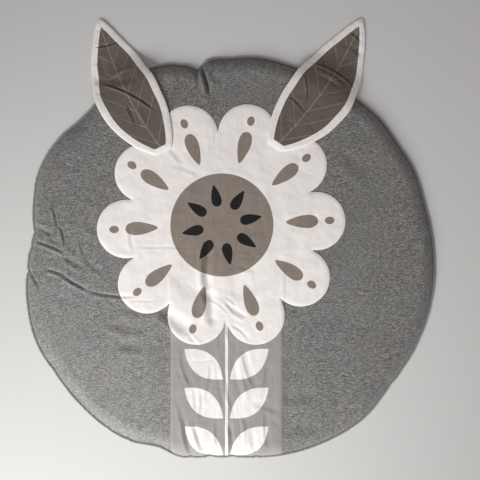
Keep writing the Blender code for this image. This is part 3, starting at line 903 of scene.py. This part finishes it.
def sew_stem(thread, height):
    """Edge stitching down the two sides of the stem panel."""
    sides = (("left", STEM_LEFT + STITCH_INSET), ("right", STEM_RIGHT - STITCH_INSET))
    for name, x_side in sides:
        y = np.linspace(STEM_TOP_SIDE, -0.452, 260)      # on past the rim, then cut short
        x = np.full_like(y, x_side)
        petals = petal_radius(np.arctan2(y - FLOWER_Y, x - FLOWER_X))
        outside = np.hypot(x - FLOWER_X, y - FLOWER_Y) > petals + 2.0 * MM
        keep = (rim_inset(x, y) > LIP_WIDTH + 6.0 * MM) & outside
        x, y = x[keep], y[keep]
        sew(f"stem_stitching_{name}", x, y, height(x, y), thread)


def sew_rim(thread):
    """The seam's stitches, sunk in the groove between the lip and the pad; their dark thread is
    partly its own colour and partly painted shade that deepens the groove's dark line.
    """
    angle = np.linspace(0.0, 2.0 * math.pi, 2401)
    radius = rim_radius(angle) - LIP_WIDTH - 0.1 * MM
    height = np.full_like(angle, SEAM_HEIGHT - 0.3 * MM)
    sew("rim_stitching", radius * np.cos(angle), radius * np.sin(angle), height, thread)


def sew_flap(flap, thread, height):
    """Two short rows that tack a flap's base to the daisy."""
    base, _, along, side = flap_axes(flap)
    reach = np.linspace(-12.0 * MM, 12.0 * MM, 24)
    for number, distance in enumerate((6.0 * MM, 12.0 * MM)):
        x = base[0] + along[0] * distance + side[0] * reach
        y = base[1] + along[1] * distance + side[1] * reach
        sew(f"{flap.name}_tacking_{number + 1}", x, y, height(x, y), thread)


# Finishes

# Colours
JERSEY = (0.117, 0.115, 0.112)
BACK_GREY = (0.21, 0.21, 0.204, 1.0)
WHITE = (0.74, 0.71, 0.695, 1.0)
TAUPE = (0.215, 0.180, 0.152, 1.0)
BLACK = (0.006, 0.006, 0.007, 1.0)
STEM_GREY = (0.275, 0.266, 0.262, 1.0)
SPRIG_WHITE = (0.72, 0.70, 0.69, 1.0)
LEAF_TAUPE = (0.105, 0.086, 0.070, 1.0)
VEIN_COLOUR = (0.42, 0.38, 0.35, 1.0)
BORDER_WHITE = (0.72, 0.69, 0.67, 1.0)
GREY_THREAD = (0.30, 0.30, 0.29, 1.0)
WHITE_THREAD = (0.72, 0.70, 0.68, 1.0)
# Rim seam thread: partly its own dark colour, partly painted shade for the groove it lies in
SEAM_THREAD_AND_GROOVE_SHADE = (0.09, 0.09, 0.085, 1.0)
FLOOR_GREY = (0.55, 0.55, 0.545, 1.0)

# Threads, and how soft and uneven a print's edges are
WEAVE_PITCH = 0.65 * MM
WALE_PITCH = 1.25 * MM
COURSE_PITCH = 0.95 * MM
PRINT_SOFT = 0.25 * MM
PRINT_RAGGED = 0.2 * MM

# The daisy's printed drops, by their distance from its middle
SEEDS = 8
SEED_TURN = math.radians(12.0)
Drop = namedtuple("Drop", "middle half_length half_width taper")
SEED = Drop(68.0 * MM, 25.0 * MM, 10.5 * MM, -0.55)
STREAK = Drop(184.0 * MM, 37.0 * MM, 14.0 * MM, 0.45)
SPOT = Drop(247.0 * MM, 11.0 * MM, 8.5 * MM, 0.0)

# The stem's sprig: how its pairs of leaves repeat, stand out and lean, and where it starts
SPRIG_PITCH = 89.0 * MM
SPRIG_SHIFT = 287.0 * MM
SPRIG_OUT = 52.0 * MM
SPRIG_LEAN = math.radians(38.0)
SPRIG_HALF_LENGTH = 56.0 * MM
SPRIG_HALF_WIDTH = 27.0 * MM
SPRIG_TOP = 207.0 * MM
STALK_HALF_WIDTH = 3.2 * MM

# The leaves' veins
MIDRIB_HALF_WIDTH = 1.3 * MM
VEIN_HALF_WIDTH = 0.7 * MM
VEIN_SLANT = 1.15
VEIN_PITCH = 44.0 * MM
VEIN_PITCH_ACROSS = 29.0 * MM
VEIN_STRENGTH = 0.3


class Finish:
    """A material and short ways to add its nodes."""

    def __init__(self, name, roughness, sheen, gloss=0.25):
        self.material = bpy.data.materials.new(name)
        self.material.use_nodes = True
        self.tree = self.material.node_tree
        self.shader = self.tree.nodes["Principled BSDF"]
        self.shader.inputs["Roughness"].default_value = roughness
        self.shader.inputs["Sheen Weight"].default_value = sheen
        self.shader.inputs["Sheen Roughness"].default_value = 0.6
        self.shader.inputs["Specular IOR Level"].default_value = gloss
        self.place = self.add("ShaderNodeTexCoord").outputs["Object"]

    def add(self, kind, sockets=None, **settings):
        node = self.tree.nodes.new(kind)
        for key, value in settings.items():
            setattr(node, key, value)
        for key, value in (sockets or {}).items():
            self.feed(node.inputs[key], value)
        return node

    def feed(self, socket, value):
        if isinstance(value, bpy.types.NodeSocket):
            self.tree.links.new(value, socket)
        else:
            socket.default_value = value

    def math(self, operation, first, second=0.0, third=0.0):
        node = self.add("ShaderNodeMath", {0: first, 1: second, 2: third}, operation=operation)
        return node.outputs[0]

    def mix(self, share, first, second, kind="RGBA"):
        node = self.add("ShaderNodeMix", data_type=kind)
        self.feed(node.inputs["Factor"], share)
        self.feed(node.inputs["A"], first)
        self.feed(node.inputs["B"], second)
        return node.outputs["Result"]

    def noise(self, scale, detail=3.0, rough=0.55, turn=0.0):
        """Soft noise with so many cells a metre along x, y and z."""
        vector = self.add("ShaderNodeMapping", {"Vector": self.place, "Scale": scale,
                                                "Rotation": (0.0, 0.0, turn)}).outputs["Vector"]
        node = self.add("ShaderNodeTexNoise", {"Vector": vector, "Scale": 1.0,
                                               "Detail": detail, "Roughness": rough})
        return node.outputs["Fac"]

    def split(self, vector):
        node = self.add("ShaderNodeSeparateXYZ", {"Vector": vector})
        return node.outputs["X"], node.outputs["Y"]

    def ridges(self, distance, pitch, shift):
        """Waves from -1 to 1, one in each pitch."""
        return self.math("SINE", self.math("MULTIPLY_ADD", distance, 2.0 * math.pi / pitch, shift))

    def length(self, x, y):
        squares = self.math("ADD", self.math("MULTIPLY", x, x), self.math("MULTIPLY", y, y))
        return self.math("SQRT", squares)

    def ramp(self, value, low, high, dark, light):
        node = self.add("ShaderNodeMapRange", {"Value": value, "From Min": low, "From Max": high,
                                               "To Min": dark, "To Max": light})
        return node.outputs["Result"]

    def edge(self, distance):
        """1 inside a shape and 0 outside it, from a signed distance."""
        return self.add("ShaderNodeMapRange",
                        {"Value": distance, "From Min": -PRINT_SOFT, "From Max": PRINT_SOFT,
                         "To Min": 1.0, "To Max": 0.0},
                        interpolation_type="SMOOTHSTEP").outputs["Result"]

    def ragged(self, distance):
        """A signed distance made uneven, as ink runs along threads."""
        threads = self.noise((900.0, 900.0, 900.0))
        uneven = self.ramp(threads, 0.3, 0.7, -PRINT_RAGGED, PRINT_RAGGED)
        return self.math("ADD", distance, uneven)

    def dim(self, colour, factor):
        """A colour made lighter or darker all through."""
        plain = colour if isinstance(colour, bpy.types.NodeSocket) else colour[:3]
        node = self.add("ShaderNodeVectorMath", {0: plain}, operation="SCALE")
        self.feed(node.inputs["Scale"], factor)
        return node.outputs["Vector"]

    def bump(self, height, strength, distance):
        node = self.add("ShaderNodeBump", {"Height": height, "Strength": strength,
                                           "Distance": distance})
        self.tree.links.new(node.outputs["Normal"], self.shader.inputs["Normal"])

    def colour(self, value):
        self.feed(self.shader.inputs["Base Color"], value)


def plain_weave(finish):
    """Height of a plain weave: threads over and under each other, a little uneven."""
    x, y = finish.split(finish.place)
    wobble = finish.noise((220.0, 220.0, 220.0))
    warp = finish.ridges(x, WEAVE_PITCH, wobble)
    weft = finish.ridges(y, WEAVE_PITCH, wobble)
    return finish.math("MULTIPLY", finish.math("ADD", warp, weft), 0.5)


def cotton_shade(finish, slub=0.03):
    """How a woven cotton's tone varies: slubs both ways and soft patches."""
    patches = finish.noise((9.0, 9.0, 9.0), detail=4.0)
    warp = finish.noise((700.0, 26.0, 60.0), detail=2.0)
    weft = finish.noise((26.0, 700.0, 60.0), detail=2.0)
    slubs = finish.math("ADD", warp, weft)
    tone = finish.ramp(slubs, 0.75, 1.25, 1.0 - slub, 1.0 + slub)
    return finish.math("MULTIPLY", tone, finish.ramp(patches, 0.3, 0.7, 0.965, 1.03))


def cotton_relief(finish, strength=0.22, upright=2.0):
    """Weave, the small crumple of washed cotton, and faint upright wrinkles."""
    crumpled = finish.noise((70.0, 110.0, 90.0), detail=5.0, rough=0.6)
    wrinkles = finish.noise((34.0, 9.0, 10.0), detail=2.0, rough=0.5, turn=0.05)
    wrinkles = finish.math("ABSOLUTE", finish.math("SUBTRACT", wrinkles, 0.5))
    wrinkles = finish.ramp(wrinkles, 0.0, 0.10, 0.0, upright)
    weave = finish.math("MULTIPLY", plain_weave(finish), 0.35)
    height = finish.math("MULTIPLY_ADD", crumpled, 3.2, weave)
    finish.bump(finish.math("ADD", height, wrinkles), strength, 0.45 * MM)


def jersey_material(name, colour):
    """Melange jersey: short light and dark fibres along the rows, and a fine knit."""
    finish = Finish(name, roughness=0.62, sheen=0.22, gloss=0.9)
    flecks = finish.noise((290.0, 900.0, 400.0), detail=4.0, rough=0.62)
    long_flecks = finish.noise((105.0, 500.0, 250.0), detail=2.0)
    patches = finish.noise((5.0, 7.0, 5.0), detail=3.0)
    tone = finish.math("ADD", finish.ramp(flecks, 0.33, 0.67, -1.4, 1.4),
                      finish.ramp(long_flecks, 0.3, 0.7, -0.7, 0.7))
    tone = finish.math("ADD", tone, finish.ramp(patches, 0.3, 0.7, 0.93, 1.07))
    tone = finish.math("MAXIMUM", tone, 0.15)
    red, green, blue = colour
    warm = finish.ramp(finish.noise((12.0, 12.0, 12.0), detail=2.0), 0.4, 0.6, 0.0, 1.0)
    tinted = finish.mix(warm, (red * 1.02, green, blue * 0.97, 1.0),
                        (red * 0.98, green, blue, 1.0))
    finish.colour(finish.dim(tinted, tone))
    x, y = finish.split(finish.place)
    wales = finish.ridges(x, WALE_PITCH, finish.noise((160.0, 160.0, 160.0)))
    courses = finish.math("MULTIPLY", finish.ridges(y, COURSE_PITCH, wales), 0.35)
    fuzz = finish.math("MULTIPLY", flecks, 1.6)
    finish.bump(finish.math("ADD", courses, fuzz), 0.3, 0.5 * MM)
    return finish.material


def polar(finish, count, turn):
    """Reach from the daisy's middle, and outward and sideways in the nearest equal sector."""
    x, y = finish.split(finish.place)
    x = finish.math("SUBTRACT", x, FLOWER_X)
    y = finish.math("SUBTRACT", y, FLOWER_Y)
    angle = finish.math("ARCTAN2", y, x)
    sector = 2.0 * math.pi / count
    share = finish.math("DIVIDE", finish.math("SUBTRACT", angle, turn - 0.5 * sector), sector)
    local = finish.math("MULTIPLY", finish.math("SUBTRACT", finish.math("FRACT", share), 0.5), sector)
    reach = finish.length(x, y)
    outward = finish.math("MULTIPLY", reach, finish.math("COSINE", local))
    sideways = finish.math("MULTIPLY", reach, finish.math("SINE", local))
    return reach, outward, sideways


def drop(finish, outward, sideways, shape):
    """Signed distance, roughly, to a drop shape that narrows towards the centre or away."""
    u = finish.math("DIVIDE", finish.math("SUBTRACT", outward, shape.middle), shape.half_length)
    width = finish.math("MULTIPLY_ADD", u, shape.half_width * shape.taper, shape.half_width)
    size = finish.length(u, finish.math("DIVIDE", sideways, width))
    return finish.math("MULTIPLY", finish.math("SUBTRACT", size, 1.0), shape.half_width)


def daisy_material():
    """White cotton with a printed taupe middle, black seeds, and a taupe drop on each petal."""
    finish = Finish("white_cotton_print", roughness=0.8, sheen=0.06, gloss=0.2)
    reach, outward, sideways = polar(finish, PETALS, PETAL_TURN)
    _, seed_out, seed_side = polar(finish, SEEDS, SEED_TURN)
    taupe = finish.edge(finish.ragged(finish.math("SUBTRACT", reach, CENTRE_RADIUS)))
    for shape in (STREAK, SPOT):
        printed = finish.edge(finish.ragged(drop(finish, outward, sideways, shape)))
        taupe = finish.math("MAXIMUM", taupe, printed)
    seeds = finish.edge(finish.ragged(drop(finish, seed_out, seed_side, SEED)))
    colour = finish.mix(seeds, finish.mix(taupe, WHITE, TAUPE), BLACK)
    shade = finish.mix(taupe, cotton_shade(finish, 0.025), cotton_shade(finish, 0.11), "FLOAT")
    finish.colour(finish.dim(colour, shade))
    cotton_relief(finish)
    return finish.material


def stem_material():
    """Light grey cotton with a printed white sprig: a stalk and pairs of leaves."""
    finish = Finish("grey_cotton_print", roughness=0.9, sheen=0.15)
    x, y = finish.split(finish.place)
    x = finish.math("ABSOLUTE", finish.math("SUBTRACT", x, 0.5 * (STEM_LEFT + STEM_RIGHT)))
    row = finish.math("DIVIDE", finish.math("ADD", y, SPRIG_SHIFT), SPRIG_PITCH)
    row = finish.math("SUBTRACT", finish.math("FRACT", row), 0.5)
    up = finish.math("MULTIPLY", row, SPRIG_PITCH)
    out = finish.math("SUBTRACT", x, SPRIG_OUT)
    u = finish.math("ADD", finish.math("MULTIPLY", out, math.cos(SPRIG_LEAN)),
                   finish.math("MULTIPLY", up, math.sin(SPRIG_LEAN)))
    v = finish.math("SUBTRACT", finish.math("MULTIPLY", up, math.cos(SPRIG_LEAN)),
                   finish.math("MULTIPLY", out, math.sin(SPRIG_LEAN)))
    u = finish.math("DIVIDE", u, SPRIG_HALF_LENGTH)
    v = finish.math("DIVIDE", finish.math("ABSOLUTE", v), SPRIG_HALF_WIDTH)
    leaf = finish.math("MULTIPLY_ADD", u, u, finish.math("SUBTRACT", v, 1.0))
    leaf = finish.math("MULTIPLY", leaf, SPRIG_HALF_WIDTH)
    leaf = finish.math("MAXIMUM", leaf, finish.math("ADD", y, SPRIG_TOP))
    stalk = finish.math("SUBTRACT", x, STALK_HALF_WIDTH)
    white = finish.math("MAXIMUM", finish.edge(leaf), finish.edge(stalk))
    colour = finish.mix(white, STEM_GREY, SPRIG_WHITE)
    finish.colour(finish.dim(colour, cotton_shade(finish)))
    cotton_relief(finish, 0.3, upright=3.2)
    return finish.material


def flap_material():
    """Taupe cotton with a printed white border and fine pale veins."""
    finish = Finish("leaf_cotton_print", roughness=0.9, sheen=0.15)
    edge_map = finish.add("ShaderNodeUVMap", uv_map="edge_map").outputs["UV"]
    side_map = finish.add("ShaderNodeUVMap", uv_map="side_map").outputs["UV"]
    along, inward = finish.split(edge_map)
    aside = finish.math("ABSOLUTE", finish.split(side_map)[1])
    border = finish.edge(finish.ragged(finish.math("SUBTRACT", inward, FLAP_BORDER)))
    midrib = finish.edge(finish.math("SUBTRACT", aside, MIDRIB_HALF_WIDTH))
    slant = finish.math("SUBTRACT", along, finish.math("MULTIPLY", aside, VEIN_SLANT))
    row = finish.math("FRACT", finish.math("DIVIDE", slant, VEIN_PITCH))
    vein = finish.math("ABSOLUTE", finish.math("SUBTRACT", row, 0.5))
    vein = finish.math("MULTIPLY", vein, VEIN_PITCH_ACROSS)
    veins = finish.edge(finish.math("SUBTRACT", vein, VEIN_HALF_WIDTH))
    veins = finish.math("MULTIPLY", finish.math("MAXIMUM", midrib, veins), VEIN_STRENGTH)
    colour = finish.mix(border, finish.mix(veins, LEAF_TAUPE, VEIN_COLOUR), BORDER_WHITE)
    shade = finish.mix(border, cotton_shade(finish, 0.12), cotton_shade(finish, 0.025), "FLOAT")
    finish.colour(finish.dim(colour, shade))
    cotton_relief(finish, 0.3)
    return finish.material


def plain_cotton_material(name, colour):
    """Plain woven cotton of one colour."""
    finish = Finish(name, roughness=0.9, sheen=0.15)
    finish.colour(finish.dim(colour, cotton_shade(finish)))
    cotton_relief(finish, 0.25)
    return finish.material


def thread_material(name, colour):
    """Twisted cotton thread."""
    finish = Finish(name, roughness=0.7, sheen=0.1)
    twist = finish.noise((2600.0, 2600.0, 2600.0), detail=1.0)
    finish.colour(finish.dim(colour, finish.ramp(twist, 0.3, 0.7, 0.88, 1.08)))
    finish.bump(twist, 0.2, 0.1 * MM)
    return finish.material


# Stage

def make_floor():
    """A plain pale floor."""
    bpy.ops.object.select_all(action="DESELECT")
    bpy.ops.mesh.primitive_plane_add(size=60.0, location=(0.0, 0.0, 0.0))
    floor = bpy.context.object
    floor.name = "floor"
    finish = Finish("pale_floor", roughness=1.0, sheen=0.0, gloss=0.0)
    speckle = finish.noise((160.0, 160.0, 160.0), detail=2.0)
    finish.colour(finish.dim(FLOOR_GREY, finish.ramp(speckle, 0.3, 0.7, 0.985, 1.015)))
    floor.data.materials.append(finish.material)


def add_light(name, place, aim, size, power, colour, spread=180.0):
    """A soft rectangular light, with its spread in degrees."""
    data = bpy.data.lights.new(name, "AREA")
    data.shape = "RECTANGLE"
    data.size, data.size_y = size
    data.energy = power
    data.spread = math.radians(spread)
    data.color = colour
    light = bpy.data.objects.new(name, data)
    bpy.context.scene.collection.objects.link(light)
    light.location = place
    direction = Vector(aim) - Vector(place)
    light.rotation_euler = direction.to_track_quat("-Z", "Y").to_euler()


def make_lights():
    """A broad window-like light from the lower left, and a weak even fill."""
    add_light("window", place=(-0.98, -1.66, 1.12), aim=(-0.02, -0.08, 0.0), size=(1.5, 1.1),
              power=21.0, colour=(1.0, 1.0, 0.985), spread=85.0)
    add_light("fill", place=(1.1, 0.9, 2.4), aim=(0.0, 0.0, 0.0), size=(2.4, 2.4),
              power=5.0, colour=(1.0, 0.88, 0.86))
    world = bpy.data.worlds.new("studio")
    bpy.context.scene.world = world
    world.use_nodes = True
    background = world.node_tree.nodes["Background"]
    background.inputs["Color"].default_value = (1.0, 0.955, 0.945, 1.0)
    background.inputs["Strength"].default_value = 0.27
    bpy.context.scene.view_settings.view_transform = "Standard"


def make_camera():
    """Straight down over the mat, as wide as the photograph."""
    view_width = 1.112
    height = 1.15
    data = bpy.data.cameras.new("camera")
    data.sensor_width = 36.0
    data.sensor_fit = "HORIZONTAL"
    data.lens = 36.0 * height / view_width
    camera = bpy.data.objects.new("camera", data)
    bpy.context.scene.collection.objects.link(camera)
    camera.location = (0.023, 0.042, height + 0.01)
    camera.rotation_euler = Euler((0.0, 0.0, 0.0))
    bpy.context.scene.camera = camera


PAD_CELLS = 311
DAISY_CELLS = 236
STEM_COLUMNS, STEM_ROWS = ((112, 164))
FLAP_COLUMNS, FLAP_ROWS = ((104, 230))
RIM_STEPS = 1200


def main():
    make_camera()
    make_lights()
    make_floor()
    jersey = jersey_material("melange_jersey", JERSEY)
    make_pad(jersey)
    make_back(plain_cotton_material("back_cotton", BACK_GREY))
    grey_thread = thread_material("grey_thread", GREY_THREAD)
    white_thread = thread_material("white_thread", WHITE_THREAD)
    # The rim's seam thread is dark partly as painted shade in the groove between lip and pad
    sew_rim(thread_material("seam_thread_and_groove_shade", SEAM_THREAD_AND_GROOVE_SHADE))
    stem = make_stem(stem_material())
    stem_top = top_of(stem)
    sew_stem(grey_thread, stem_top)
    daisy = make_daisy(daisy_material(), stem_top)
    sew_daisy(white_thread, top_of(daisy))
    leaf = flap_material()
    for flap in FLAPS:
        padding = make_flap(flap, leaf)
        sew_flap(flap, white_thread, top_of(padding))


main()
